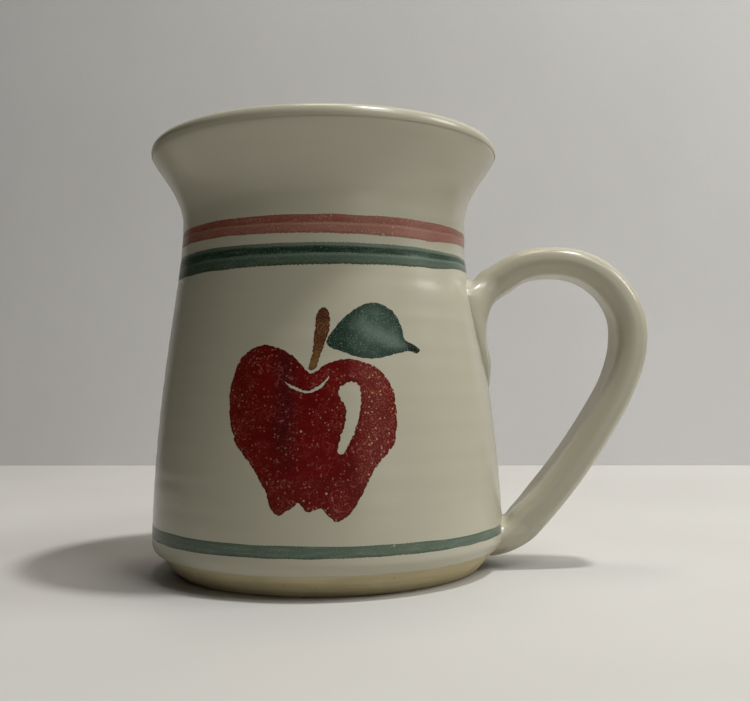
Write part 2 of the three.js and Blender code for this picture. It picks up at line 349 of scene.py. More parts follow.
# (fraction of the strap's length, thickness)
HANDLE_THICKNESS = [
    (0, 8.7), (0.15, 8.5), (0.32, 9.2), (0.45, 9.6), (0.58, 9.2), (0.8, 9.5), (1, 9.8),
]
HANDLE_WIDTH = 14.5  # at the upper end
HANDLE_WIDENING = 2.0  # by the lower end
STRAP_TWIST = math.radians(7.5)
TWIST_THINNING = 0.07  # share by which the strap is thinner where it is twisted
DOME_ACROSS, DOME_OUT, FLAT_SIDE = 2.5, 2.3, 4.2  # superellipse exponents of the section
TENON, TENON_SIZE = 0.4, 0.7  # each end closes with a smaller section, this much further on
ROOT_EDGE, ROOT_BITE = -0.08, -1.5  # how a root's edge and its hidden middle lie to the glaze
SECTION_POINTS, STRAP_ROWS, ROOT_ROWS = 112, 200, 56
section_turn = full_turn(SECTION_POINTS)


def power(x, exponent):
    """x raised to an exponent, keeping its sign."""
    return np.sign(x) * np.abs(x) ** exponent


def strap_section(u):
    """Points of the section at a fraction u of the strap's length, as distances across it and
    outwards from its middle: a domed back and a flat inner face."""
    width = (HANDLE_WIDTH + HANDLE_WIDENING * u + 0.25 * np.sin(9 * u + 1)) / 2
    twisted = smooth(0.30, 0.50, u) * (1 - smooth(0.90, 1.0, u))
    thick = np.interp(u, *np.transpose(HANDLE_THICKNESS)) / 2 * (1 - TWIST_THINNING * twisted)
    c, s = np.cos(section_turn), np.sin(section_turn)
    back = s >= 0
    across = np.where(back, power(c, 2 / DOME_ACROSS), power(c, 2 / FLAT_SIDE)) * width
    out = np.where(back, power(s, 2 / DOME_OUT), power(s, 2 / FLAT_SIDE)) * thick
    depth = np.clip(-out / thick, 0, 1)
    # Pulling left long facets down the sides, plainest towards the lower end.
    pulled = smooth(0.45, 0.65, u)
    across = across * (1 - (0.10 + 0.02 * pulled) * depth ** 1.5)
    facets = (0.05 + 0.10 * pulled) * np.cos(ROUND * out / 3.4 + 0.9 + 1.6 * u)
    across = across + np.sign(c) * facets * smooth(0.70, 0.95, np.abs(across) / width)
    # A fine bead runs along each edge of the inner face, which is a little hollow between them.
    bead = smooth(0.10, 0.3, u) * (1 - smooth(0.75, 0.9, u))
    reach = np.abs(across) / width
    inner = smooth(0.85, 1.0, depth)
    out = out - 0.22 * bead * inner * np.exp(-((reach - 0.80) / 0.055) ** 2)
    out = out + 0.35 * inner * (1 - np.clip(reach / 0.8, 0, 1) ** 2)
    # The strap is a little twisted, so that its inner face looks towards -Y.
    cos, sin = np.cos(STRAP_TWIST * twisted), np.sin(STRAP_TWIST * twisted)
    return across * cos + out * sin, out * cos - across * sin


handle_curve = catmull(HANDLE_LINE, 40)
handle_length = lengths(handle_curve)
handle_tangent = np.gradient(handle_curve, axis=0)


def strap_frame(u):
    """Centre, direction and outward normal of the strap, all in the XZ plane."""
    at = u * handle_length[-1]
    centre = np.array([np.interp(at, handle_length, column) for column in handle_curve.T])
    heading = np.array([np.interp(at, handle_length, column) for column in handle_tangent.T])
    heading /= np.linalg.norm(heading)
    return centre, heading, np.array([-heading[1], heading[0]])


def strap_ring(u, shift=0.0, size=1.0):
    """The strap's section in place, moved on along the strap by shift and scaled by size."""
    centre, heading, outward = strap_frame(u)
    across, out = strap_section(u)
    flat = centre + heading * shift + size * out[:, None] * outward
    return np.stack([flat[:, 0], size * across, flat[:, 1]], 1)


def handle_strap():
    """The pulled strap between its roots, with a hidden tenon running into each."""
    rings = [strap_ring(u) for u in np.linspace(0, 1, STRAP_ROWS)]
    grid = np.array([
        strap_ring(0, -TENON, TENON_SIZE), *rings, strap_ring(1, TENON, TENON_SIZE),
    ])
    return skin("handle_strap", grid, [grid[0].mean(0), grid[-1].mean(0)], sharp=50)


def root_surface(name, u, middle, reach, taper_below, shape, marks=None):
    """A root that flows from the strap's end ring, at u, out on to the wall.

    middle is the clay height of its centre on the wall. reach gives how far its foot goes
    (up, down, sideways), and taper_below the exponent of its outline below the middle.
    shape(c, s) gives for each direction round the ring the length of the straight start, then
    where its two landing handles lie (0 centre, 1 foot) and how proud they are."""
    c, s = np.cos(section_turn), np.sin(section_turn)
    start = strap_ring(u)
    centre, heading, _ = strap_frame(u)
    into = -heading if u == 0 else heading
    upward = s if u == 0 else -s
    up, down, half = reach
    far = np.where(upward > 0, up * np.abs(s) ** 1.1, -down * np.abs(s) ** 1.15)
    taper = np.where(upward > 0, np.abs(c) ** 0.9, np.abs(c) ** taper_below)
    spread = half * np.sign(c) * taper
    length, land1, proud1, land2, proud2 = shape(c, s)

    def on_wall(part, lift):
        """The place a part of the way out to the foot's edge, lifted off the wall."""
        z = middle + part * far
        # Below the coat's edge the root lies on the bare clay.
        sunk = 0.45 * smooth(6.6, 5.6, z)
        angle = part * spread / side(z, GLAZE)[0]
        return wall_point(angle, z, lift - sunk)

    first = start + np.stack([into[0] * length, 0 * length, into[1] * length], 1)
    landing = [on_wall(land1, proud1), on_wall(land2, proud2), on_wall(1.0, ROOT_EDGE)]
    handles = [start, first, *landing]
    t = np.linspace(0, 1, ROOT_ROWS)
    t = (t + 0.35 * smooth(0, 1, t)) / 1.35
    grid = bezier([h[None] for h in handles], t[:, None, None])
    if u == 0:
        # The thumb left a low swelling on the tongue of clay below the root.
        swell = np.exp(-(grid[..., 1] / 4.5) ** 2 - ((grid[..., 2] - 56.5) / 3.8) ** 2)
        grid[..., 0] += 0.8 * swell * smooth(0, 0.15, 1 - t)[:, None]
    foot_centre = wall_point(0.0, middle, ROOT_BITE)
    ring_centre = np.array([centre[0] + into[0], 0, centre[1] + into[1]])
    attributes = None
    if marks:
        values = marks(grid)
        attributes = {"smear": np.concatenate([values.ravel(), [0, 0]])}
    return skin(name, grid, [ring_centre, foot_centre], sharp=60, attributes=attributes)


def upper_shape(c, s):
    """Shares of the ring's lower, upper and side parts, each with its own sweep."""
    low, high, beside = np.clip(-s, 0, 1) ** 2, np.clip(s, 0, 1) ** 2, c ** 2
    length = 8.5 * low + 4.2 * high + 4.0 * beside
    land1 = 0.17 * low + 0.75 * high + 0.86 * beside
    proud1 = -1.0 * low + 1.8 * high + 2.4 * beside
    corner = 4 * low * beside
    land2 = 0.75 * low + 0.92 * high + 0.96 * beside + 0.09 * corner
    proud2 = 2.8 * low + 0.25 * high + 0.9 * beside + 0.9 * corner
    return length, land1, proud1, land2, proud2


def lower_shape(c, s):
    """Shares of the ring's inner, back and side parts, each with its own sweep."""
    inner, back, beside = np.clip(-s, 0, 1) ** 2, np.clip(s, 0, 1) ** 2, c ** 2
    length = 1.0 * inner + 4.6 * back + 1.6 * beside
    land1 = 0.90 * inner + 0.72 * back + 0.88 * beside
    proud1 = 1.2 * inner + 3.6 * back + 2.6 * beside
    land2 = 0.96 * inner + 0.92 * back + 0.95 * beside
    proud2 = 0.1 * inner + 0.7 * back + 0.25 * beside
    return length, land1, proud1, land2, proud2


SMEAR, SMEAR_SIZE = np.array([46.5, -6.5, 4.6]), 3.0


def lower_smear(grid):
    """Where bare clay was smeared by a finger, at the front of the root's foot."""
    return np.exp(-(np.linalg.norm(grid - SMEAR, axis=-1) / SMEAR_SIZE) ** 2)


# ---------------------------------------------------------------- painted bands

BAND_COLUMNS = 1400


def painted_band(name, low, high, seed, ragged, arc=None, hook=0.0):
    """A brushed band lying on the glaze, a closed film with uneven edges.

    low and high are each (height, rise towards the handle), and ragged is how uneven those two
    edges are. The low edge also turns up by hook beside the handle. arc limits the angles."""
    angles = full_turn(BAND_COLUMNS) if arc is None else np.linspace(*arc, BAND_COLUMNS)
    bottom, top = (height + rise * np.cos(angles) for height, rise in (low, high))
    bottom = bottom + hook * smooth(0.75, 1.0, np.cos(angles))
    bottom = bottom + 0.06 * wander(angles, seed + 1, 8, 40)
    bottom = bottom + ragged[0] * wander(angles, seed + 2, 120, 420, 30)
    top = top + 0.07 * wander(angles, seed + 3, 8, 30)
    top = top + ragged[1] * wander(angles, seed + 4, 120, 420, 30)
    up = np.concatenate([[0, 0.01, 0.03], np.linspace(0.07, 0.93, 13), [0.97, 0.99, 1]])
    lift = FILM * np.sqrt(1 - np.abs(2 * up - 1) ** 8) - 0.02
    across = np.concatenate([up, [0.75, 0.5, 0.25]])
    lift = np.concatenate([lift, [FILM_UNDER] * 3])
    z = bottom[:, None] + (top - bottom)[:, None] * across[None, :]
    grid = wall_point(angles[:, None], z, lift[None, :])
    values = np.broadcast_to(across, z.shape).ravel()
    if arc is None:
        return skin(name, grid, attributes={"across": values}, sharp=80)
    tips = [grid[0].mean(0), grid[-1].mean(0)]
    values = np.concatenate([values, [0.5, 0.5]])
    return skin(name, grid, tips, attributes={"across": values}, sharp=80)


# ---------------------------------------------------------------- stencilled apple

# Outlines are [distance round the wall, height] on the decoration's cylinder.
APPLE = [
    (-0.3, 52.3), (3, 54.3), (7.5, 55.6), (12, 55), (16.5, 52.7), (19.2, 48.5), (19.8, 42),
    (18.8, 35.8), (14.2, 30.4), (11.1, 24.8), (8.2, 20.2), (5, 18.3), (2.8, 20.2), (1.7, 21.6),
    (-1.2, 20.4), (-3.1, 22.6), (-5.6, 20.8), (-7.5, 19.8), (-9.5, 21.6), (-10.8, 25.4),
    (-14.4, 31.2), (-18.8, 36.8), (-20.8, 46), (-20, 52), (-17.6, 56.7), (-12.5, 59.2),
    (-7.3, 58), (-3.6, 55.6),
]
SMILE = [
    (-6.6, 50.4), (-4.2, 49.2), (-1.1, 48.2), (1.6, 49.4), (4.1, 51.6), (2, 49.0), (-1, 47.75),
    (-4.4, 48.75),
]
COMMA = [
    (8.7, 50.2), (6.1, 48.2), (6.6, 46.2), (7.7, 44.6), (7.6, 41.5), (5.7, 34), (6.7, 33.8),
    (8.3, 36.3), (10.6, 42), (11.2, 48), (10.3, 49.9),
]
STEM = [
    (-0.8, 53.1), (0.5, 53.1), (1.9, 56.2), (3.1, 59.5), (4.4, 63.5), (3.8, 67.4), (2.6, 67.9),
    (1.2, 66.5), (0.5, 62), (0, 57.5),
]
LEAF = [
    (3.4, 59.2), (5.5, 63), (8.9, 66.2), (13, 68.6), (17, 68.9), (20.6, 67.2), (22.9, 63.5),
    (23.7, 60.1), (26.1, 59), (27.8, 57.6), (26.9, 56.8), (24.5, 57.3), (20, 56.5), (14.9, 55.6),
    (10.9, 56), (7, 57.3),
]


EDGE_STEP = 0.3  # between points along an outline
FILL_STEP = 0.7  # between points inside it
FILL_ROW = 0.87 * FILL_STEP  # between their rows, for nearly even triangles
EDGE_GAP = 0.28  # least distance of those from the outline


def ragged_outline(points, seed, rough):
    """A smooth closed outline whose edge wanders by about rough either way."""
    curve = even_loop(catmull(points, 24, closed=True), EDGE_STEP)
    ahead = np.roll(curve, -1, axis=0) - np.roll(curve, 1, axis=0)
    ahead /= np.linalg.norm(ahead, axis=1)[:, None]
    sideways = np.stack([ahead[:, 1], -ahead[:, 0]], 1)
    turn_at = full_turn(len(curve))
    fine = len(curve) // 3
    wave = 0.6 * wander(turn_at, seed, 12, 40, 12)
    wave = wave + 0.5 * wander(turn_at, seed + 1, fine // 3, fine, 30)
    return curve + sideways * (rough * wave)[:, None]


def within(points, loops):
    """Which points lie inside the outlines, counting an outline inside another as a hole."""
    inside_of = np.zeros(len(points), bool)
    x, y = points[:, 0][:, None], points[:, 1][:, None]
    for loop in loops:
        ax, ay = loop[:, 0][None], loop[:, 1][None]
        bx, by = np.roll(loop[:, 0], -1)[None], np.roll(loop[:, 1], -1)[None]
        spans = (ay > y) != (by > y)
        with np.errstate(divide="ignore", invalid="ignore"):
            crossing = ax + (y - ay) * (bx - ax) / (by - ay)
        inside_of ^= (np.sum(spans & (x < crossing), axis=1) % 2).astype(bool)
    return inside_of


def nearest_distance(points, border):
    """How far each point is from the border's nearest point."""
    return np.array([np.min(np.hypot(*(border - p).T)) for p in points])


def stencil(name, outlines, seed, rough):
    """A closed film of colour on the wall, cut to a ragged outline with openings."""
    loops = [ragged_outline(points, seed + 5 * k, rough) for k, points in enumerate(outlines)]
    border = np.vstack(loops)
    low, high = border.min(0), border.max(0)
    columns = np.arange(low[0], high[0], FILL_STEP)
    xs, ys = np.meshgrid(columns, np.arange(low[1], high[1], FILL_ROW))
    xs[1::2] += FILL_STEP / 2
    fill = np.stack([xs.ravel(), ys.ravel()], 1)
    fill = fill[within(fill, loops)]
    fill = fill[nearest_distance(fill, border) > EDGE_GAP]
    edges, first = [], 0
    for loop in loops:
        count = len(loop)
        edges += [(first + i, first + (i + 1) % count) for i in range(count)]
        first += count
    flat = np.vstack([border, fill])
    found = delaunay_2d_cdt([Vector(p) for p in flat], edges, [], 0, 1e-5)
    flat = np.array([tuple(p) for p in found[0]])
    triangles = np.array([f for f in found[2] if len(f) == 3])
    triangles = triangles[within(flat[triangles].mean(1), loops)]
    rim = nearest_distance(flat, border)
    angle = DECOR_FRONT + flat[:, 0] / DECOR_RADIUS
    top = wall_point(angle, flat[:, 1], FILM * smooth(-0.1, 0.35, rim) - 0.01)
    under = wall_point(angle, flat[:, 1], FILM_UNDER)
    count = len(flat)
    faces = triangles.tolist() + (triangles[:, ::-1] + count).tolist()
    # Sides of triangles that have no neighbour run round the film's edge.
    sides = [pair for a, b, c in triangles.tolist() for pair in ((a, b), (b, c), (c, a))]
    paired = set(sides)
    faces += [[b, a, a + count, b + count] for a, b in sides if (b, a) not in paired]
    attributes = {
        "rim": np.tile(rim, 2),
        "across": np.tile(flat[:, 0], 2),
        "height": np.tile(flat[:, 1], 2),
    }
    return mesh_piece(name, np.vstack([top, under]), faces, sharp=80, attributes=attributes)


# ---------------------------------------------------------------- materials


class Shader:
    """One node material, and short ways to add nodes to it. Its lengths are millimetres."""

    def __init__(self, name, roughness, specular):
        self.material = bpy.data.materials.new(name)
        self.material.use_nodes = True
        self.tree = self.material.node_tree
        self.surface = self.tree.nodes["Principled BSDF"]
        self.surface.inputs["Roughness"].default_value = roughness
        self.surface.inputs["Specular IOR Level"].default_value = specular
        place = self.tree.nodes.new("ShaderNodeTexCoord").outputs["Object"]
        scaled = self.tree.nodes.new("ShaderNodeVectorMath")
        scaled.operation = "SCALE"
        scaled.inputs["Scale"].default_value = 1 / MM
        self.tree.links.new(place, scaled.inputs[0])
        self.place = scaled.outputs["Vector"]

    def feed(self, socket, value):
        """Links an output to the socket, or sets the socket to a plain value."""
        if isinstance(value, bpy.types.NodeSocket):
            self.tree.links.new(value, socket)
        elif isinstance(value, (tuple, list)) and len(value) == 3 and socket.type == "RGBA":
            socket.default_value = (*value, 1)
        else:
            socket.default_value = value

    def math(self, operation, a, b=0.0, clamp=False):
        node = self.tree.nodes.new("ShaderNodeMath")
        node.operation = operation
        node.use_clamp = clamp
        self.feed(node.inputs[0], a)
        self.feed(node.inputs[1], b)
        return node.outputs[0]

    def times(self, a, b):
        return self.math("MULTIPLY", a, b)

    def apart(self, a, b):
        """How far a is from b, either way."""
        return self.math("ABSOLUTE", self.math("SUBTRACT", a, b))

    def span(self, value, low, high, bottom=0.0, top=1.0):
        """value eased from low..high to bottom..top."""
        node = self.tree.nodes.new("ShaderNodeMapRange")
        node.interpolation_type = "SMOOTHSTEP"
        for k, v in enumerate((value, low, high, bottom, top)):
            self.feed(node.inputs[k], v)
        return node.outputs[0]

    def mix(self, factor, a, b):
        node = self.tree.nodes.new("ShaderNodeMix")
        node.data_type = "RGBA"
        self.feed(node.inputs["Factor"], factor)
        self.feed(node.inputs[6], a)
        self.feed(node.inputs[7], b)
        return node.outputs[2]

    def tint(self, tone, colour, where, amount):
        """tone moved by amount towards colour, as far as where is 1."""
        return self.mix(self.times(where, amount), tone, colour)

    def shrunk_level(self, share):
        """The place with its level lengths shrunk, which draws out a pattern sideways."""
        node = self.tree.nodes.new("ShaderNodeVectorMath")
        node.operation = "MULTIPLY"
        self.feed(node.inputs[0], self.place)
        node.inputs[1].default_value = (share, share, 1.0)
        return node.outputs["Vector"]

    def noise(self, size, detail, rough=0.5, level=None, warp=0.0):
        """Noise with features about size millimetres across. level draws them out sideways."""
        node = self.tree.nodes.new("ShaderNodeTexNoise")
        self.feed(node.inputs["Vector"], self.shrunk_level(level) if level else self.place)
        node.inputs["Scale"].default_value = 1 / size
        node.inputs["Detail"].default_value = detail
        node.inputs["Roughness"].default_value = rough
        node.inputs["Distortion"].default_value = warp
        return node.outputs["Fac"]

    def patches(self, low, high, *shape, **settings):
        """Noise eased from low..high to 0..1; the rest is as for noise()."""
        return self.span(self.noise(*shape, **settings), low, high)

    def spots(self, cell, radius, share, soft=0.5):
        """1 inside round spots scattered about one to a cell, in a share of the cells."""
        node = self.tree.nodes.new("ShaderNodeTexVoronoi")
        self.feed(node.inputs["Vector"], self.place)
        node.inputs["Scale"].default_value = 1 / cell
        spot = self.span(node.outputs["Distance"], radius / cell, radius * soft / cell)
        pick = self.tree.nodes.new("ShaderNodeSeparateColor")
        self.feed(pick.inputs[0], node.outputs["Color"])
        return self.times(spot, self.math("LESS_THAN", pick.outputs[0], share))

    def attribute(self, name):
        node = self.tree.nodes.new("ShaderNodeAttribute")
        node.attribute_name = name
        return node.outputs["Fac"]

    def along(self, axis):
        """The place along one axis, in millimetres."""
        node = self.tree.nodes.new("ShaderNodeSeparateXYZ")
        self.feed(node.inputs[0], self.place)
        return node.outputs[axis]

    def bump(self, value, depth, after=None):
        """A normal roughened by value, up to depth millimetres, on top of an earlier one."""
        node = self.tree.nodes.new("ShaderNodeBump")
        node.inputs["Distance"].default_value = depth * MM
        node.inputs["Strength"].default_value = 1.0
        self.feed(node.inputs["Height"], value)
        if after:
            self.feed(node.inputs["Normal"], after)
        return node.outputs["Normal"]

    def finish(self, colour, normal, roughness=None):
        self.feed(self.surface.inputs["Base Color"], colour)
        self.feed(self.surface.inputs["Normal"], normal)
        if roughness:
            self.feed(self.surface.inputs["Roughness"], roughness)
        return self.material


def glassy_bump(shader):
    """The faint unevenness of the fired glaze, shared by everything under it."""
    swell = shader.bump(shader.noise(4.5, 1.0), 0.022)
    return shader.bump(shader.noise(0.55, 1.0), 0.004, after=swell)


def cream_glaze():
    """Cream glaze with clouds, faint turning streaks, a few iron specks and a bare smear."""
    shader = Shader("cream_glaze", 0.25, 0.42)
    cloud = shader.patches(0.2, 0.8, 26, 2.0)
    tone = shader.mix(cloud, (0.478, 0.453, 0.352), (0.494, 0.470, 0.370))
    streak = shader.patches(0.4, 0.75, 2.2, 2.0, level=0.08)
    tone = shader.tint(tone, (0.425, 0.398, 0.30), streak, 0.12)
    tone = shader.tint(tone, (0.40, 0.33, 0.21), shader.spots(5.2, 0.45, 0.12, 0.1), 0.2)
    tone = shader.tint(tone, (0.13, 0.10, 0.07), shader.spots(5.2, 0.2, 0.12), 0.7)
    bare = shader.times(shader.attribute("smear"), shader.patches(0.38, 0.6, 0.9, 4.0, 0.7))
    tone = shader.mix(bare, tone, (0.30, 0.21, 0.12))
    gloss = shader.span(shader.noise(12, 1.0), 0.2, 0.8, 0.22, 0.27)
    gloss = shader.math("ADD", gloss, shader.times(bare, 0.4))
    return shader.finish(tone, glassy_bump(shader), gloss)


def bare_clay():
    """Dry buff stoneware with turning lines, grog and dark specks."""
    shader = Shader("bare_stoneware", 0.8, 0.3)
    tone = shader.mix(shader.patches(0.3, 0.7, 14, 3.0), (0.47, 0.40, 0.235), (0.56, 0.48, 0.29))
    streaks = shader.patches(0.35, 0.7, 0.8, 3.0, level=0.05)
    tone = shader.tint(tone, (0.38, 0.315, 0.18), streaks, 0.35)
    tone = shader.tint(tone, (0.62, 0.55, 0.38), shader.patches(0.55, 0.75, 0.35, 2.0), 0.25)
    tone = shader.tint(tone, (0.06, 0.04, 0.025), shader.spots(2.6, 0.2, 0.35), 0.9)
    grain = shader.bump(shader.noise(0.4, 3.0, 0.6), 0.05)
    lines = shader.noise(0.7, 2.0, level=0.04)
    return shader.finish(tone, shader.bump(lines, 0.06, after=grain))


STAIN_GLOSS, STAIN_SPECULAR = 0.3, 0.2


def stain_mottle(shader, tone, pale, fine, dots):
    """Fine light mottle of a sponged stain, with a few bigger pinholes."""
    tone = shader.tint(tone, pale, shader.patches(0.55, 0.72, 0.28, 1.0), fine)
    return shader.tint(tone, (0.46, 0.40, 0.30), shader.spots(3.0, 0.34, dots), 0.7)


def brushed(shader, amount):
    """The height across a band, with the strokes' boundaries wavering a little."""
    wobble = shader.math("SUBTRACT", shader.noise(5, 3.0, 0.6, level=0.22), 0.5)
    return shader.math("ADD", shader.attribute("across"), shader.times(wobble, amount))


def rose_stain():
    """Two rose strokes with a pale line where they meet."""
    shader = Shader("rose_stain", STAIN_GLOSS, STAIN_SPECULAR)
    place = brushed(shader, 0.14)
    lower = shader.mix(shader.span(place, 0.02, 0.22), (0.24, 0.105, 0.072), (0.33, 0.15, 0.11))
    upper = shader.mix(shader.span(place, 0.60, 0.95), (0.235, 0.078, 0.05), (0.27, 0.10, 0.07))
    tone = shader.mix(shader.span(place, 0.50, 0.60), lower, upper)
    line = shader.span(shader.apart(place, 0.52), 0.09, 0.03, 0.0, 0.8)
    tone = shader.mix(line, tone, (0.44, 0.24, 0.185))
    # Painted shade darkens the band towards the left, and painted light brightens it towards the
    # handle.
    full, painted_light_right = (shader.span(shader.along("X"), *ends) for ends in ((12, -34), (5, 34)))
    tone = shader.tint(tone, (0.19, 0.045, 0.025), full, 0.45)
    tone = shader.tint(tone, (0.42, 0.225, 0.18), painted_light_right, 0.35)
    cloud = shader.patches(0.3, 0.7, 6, 3.0, 0.6, level=0.35)
    tone = shader.tint(tone, (0.21, 0.065, 0.045), cloud, 0.3)
    streak = shader.patches(0.45, 0.7, 0.7, 2.0, level=0.12)
    tone = shader.tint(tone, (0.40, 0.21, 0.16), streak, 0.3)
    tone = shader.tint(tone, (0.24, 0.045, 0.03), shader.span(place, 0.90, 0.99), 0.5)
    tone = stain_mottle(shader, tone, (0.50, 0.33, 0.26), 0.4, 0.5)
    tone = shader.tint(tone, (0.52, 0.38, 0.30), shader.spots(0.9, 0.24, 0.4), 0.4)
    return shader.finish(tone, glassy_bump(shader))


def green_stain():
    """A grey-green stroke, a pale line, a nearly black-green stroke and a thin upper fringe."""
    shader = Shader("green_stain", STAIN_GLOSS, STAIN_SPECULAR)
    place = brushed(shader, 0.10)
    lower = shader.span(place, 0.04, 0.16)
    tone = shader.mix(lower, (0.045, 0.065, 0.036), (0.085, 0.12, 0.085))
    tone = shader.mix(shader.span(place, 0.36, 0.42), tone, (0.14, 0.20, 0.158))
    tone = shader.mix(shader.span(place, 0.49, 0.55), tone, (0.009, 0.026, 0.014))
    tone = shader.mix(shader.span(place, 0.78, 0.87), tone, (0.17, 0.21, 0.155))
    # Painted shade darkens the band towards the left, and painted light brightens it towards the
    # handle.
    full, painted_light_right = (shader.span(shader.along("X"), *ends) for ends in ((8, -30), (5, 34)))
    tone = shader.tint(tone, (0.008, 0.022, 0.010), full, 0.5)
    tone = shader.tint(tone, (0.14, 0.19, 0.16), painted_light_right, 0.12)
    cloud = shader.patches(0.35, 0.7, 7, 3.0, 0.6, level=0.35)
    tone = shader.tint(tone, (0.045, 0.08, 0.055), cloud, 0.3)
    streak = shader.patches(0.45, 0.7, 0.7, 2.0, level=0.12)
    tone = shader.tint(tone, (0.11, 0.155, 0.12), streak, 0.3)
    tone = shader.tint(tone, (0.26, 0.31, 0.24), shader.spots(0.8, 0.26, 0.5), 0.2)
    tone = stain_mottle(shader, tone, (0.26, 0.30, 0.23), 0.35, 0.08)
    return shader.finish(tone, glassy_bump(shader))


def thin_green_stain():
    """One thin green stroke, darker along both edges."""
    shader = Shader("thin_green_stain", STAIN_GLOSS, STAIN_SPECULAR)
    place = brushed(shader, 0.16)
    lower = shader.span(place, 0.02, 0.25)
    tone = shader.mix(lower, (0.06, 0.086, 0.058), (0.11, 0.15, 0.11))
    tone = shader.mix(shader.span(place, 0.80, 0.97), tone, (0.085, 0.115, 0.08))
    cloud = shader.patches(0.35, 0.7, 8, 3.0, 0.6, level=0.35)
    tone = shader.tint(tone, (0.08, 0.125, 0.095), cloud, 0.4)
    streak = shader.patches(0.45, 0.7, 0.7, 2.0, level=0.12)
    tone = shader.tint(tone, (0.19, 0.235, 0.185), streak, 0.35)
    tone = stain_mottle(shader, tone, (0.30, 0.33, 0.25), 0.4, 0.06)
    return shader.finish(tone, glassy_bump(shader))


def red_stain():
    """Sponged deep red, more open towards the right side, the left edge and the bottom."""
    shader = Shader("red_stain", STAIN_GLOSS, STAIN_SPECULAR)
    across, height = shader.attribute("across"), shader.attribute("height")
    cloud = shader.patches(0.3, 0.7, 9, 3.0, 0.6)
    tone = shader.mix(cloud, (0.095, 0.0018, 0.0020), (0.135, 0.0040, 0.004))
    right = shader.span(across, 8.5, 13.0)
    low = shader.span(height, 30, 22, 0.0, 0.35)
    left = shader.span(across, -13, -19, 0.0, 0.6)
    open_tone = shader.math("MAXIMUM", right, shader.math("MAXIMUM", low, left))
    tone = shader.tint(tone, (0.14, 0.007, 0.004), open_tone, 0.6)
    # A deep vertical shade left of the middle.
    shade = shader.span(shader.apart(across, -6.5), 4.5, 0.5)
    shade = shader.times(shade, shader.span(height, 26, 40))
    tone = shader.tint(tone, (0.045, 0.004, 0.007), shade, 0.65)
    edge = shader.span(shader.attribute("rim"), 0.8, 0.1)
    tone = shader.tint(tone, (0.05, 0.002, 0.003), edge, 0.5)
    # Light mottle and specks where the sponge left the colour open.
    amount = shader.math("ADD", 0.07, shader.times(open_tone, 0.42))
    patch = shader.patches(0.45, 0.62, 6, 3.0, 0.6)
    amount = shader.math("ADD", amount, shader.times(patch, 0.10))
    fine = shader.patches(0.56, 0.68, 0.34, 1.0, 0.6)
    tone = shader.tint(tone, (0.42, 0.17, 0.09), fine, amount)
    some = shader.math("ADD", 0.22, shader.times(amount, 1.2), clamp=True)
    tone = shader.tint(tone, (0.55, 0.33, 0.20), shader.spots(0.9, 0.27, 0.45), some)
    tone = shader.tint(tone, (0.56, 0.36, 0.26), shader.spots(2.9, 0.34, 0.4), 0.8)
    # Fine curved scratches show the glaze through.
    hair = shader.span(shader.apart(shader.noise(2.2, 1.0, warp=1.4), 0.5), 0.020, 0.005)
    hair = shader.times(hair, shader.patches(0.42, 0.55, 4.5, 2.0))
    tone = shader.tint(tone, (0.44, 0.16, 0.12), hair, 0.42)
    return shader.finish(tone, glassy_bump(shader))


def brown_stain():
    """Mottled brown, yellower at the lower end of the stem."""
    shader = Shader("brown_stain", STAIN_GLOSS, STAIN_SPECULAR)
    height = shader.attribute("height")
    middle = shader.span(height, 53.5, 60)
    tone = shader.mix(middle, (0.16, 0.095, 0.028), (0.085, 0.030, 0.011))
    tone = shader.mix(shader.span(height, 63, 67), tone, (0.062, 0.020, 0.008))
    edge = shader.span(shader.attribute("rim"), 0.6, 0.1)
    tone = shader.tint(tone, (0.05, 0.018, 0.008), edge, 0.4)
    mottle = shader.patches(0.52, 0.66, 0.36, 1.0, 0.6)
    tone = shader.tint(tone, (0.30, 0.17, 0.09), mottle, 0.5)
    return shader.finish(tone, glassy_bump(shader))


def leaf_stain():
    """Sponged blue-green with a dark outline, a lighter sweep and a nearly black tip."""
    shader = Shader("leaf_stain", STAIN_GLOSS, STAIN_SPECULAR)
    across, height = shader.attribute("across"), shader.attribute("height")
    cloud = shader.patches(0.35, 0.65, 5, 3.0, 0.6)
    tone = shader.mix(cloud, (0.030, 0.060, 0.044), (0.062, 0.105, 0.080))
    tone = shader.mix(shader.span(across, 14, 6, 0.0, 0.85), tone, (0.010, 0.028, 0.019))
    # The brush left a lighter sweep from the middle of the leaf to its tip.
    ridge = shader.apart(shader.math("ADD", height, shader.times(across, 0.42)), 68.2)
    ridge = shader.math("ADD", ridge, shader.times(shader.noise(3, 2.0), 1.6))
    light = shader.times(shader.span(ridge, 4.2, 0.8), shader.span(across, 8, 14))
    tone = shader.tint(tone, (0.13, 0.18, 0.145), light, 0.8)
    edge = shader.span(shader.attribute("rim"), 2.6, 0.2)
    tone = shader.tint(tone, (0.016, 0.036, 0.024), edge, 0.75)
    tone = shader.tint(tone, (0.008, 0.010, 0.006), shader.span(across, 23.2, 25.0), 0.95)
    mottle = shader.patches(0.54, 0.70, 0.34, 1.0, 0.6)
    tone = shader.tint(tone, (0.26, 0.32, 0.26), mottle, 0.4)
    return shader.finish(tone, glassy_bump(shader))


# ---------------------------------------------------------------- the mug

# (middle, reach, taper below), as root_surface() takes them
UPPER_ROOT = (72.0, (6.5, 24.0, 12.2), 1.1)
LOWER_ROOT = (9.0, (4.6, 6.3, 9.6), 0.9)
LOWER_ROOT_HALF_ANGLE = 9.3 / 48.3  # the lower band stops here on either side of the root

cream = cream_glaze()
add_piece(clay_body(), bare_clay(), "thrown_body")
add_piece(glaze_coat(), cream, "body_glaze")
add_piece(handle_strap(), cream, "pulled_handle")
add_piece(
    root_surface("handle_upper_root", 0, *UPPER_ROOT, upper_shape),
    cream, "upper_handle_joint",
)
add_piece(
    root_surface("handle_lower_root", 1, *LOWER_ROOT, lower_shape, marks=lower_smear),
    cream, "lower_handle_joint",
)

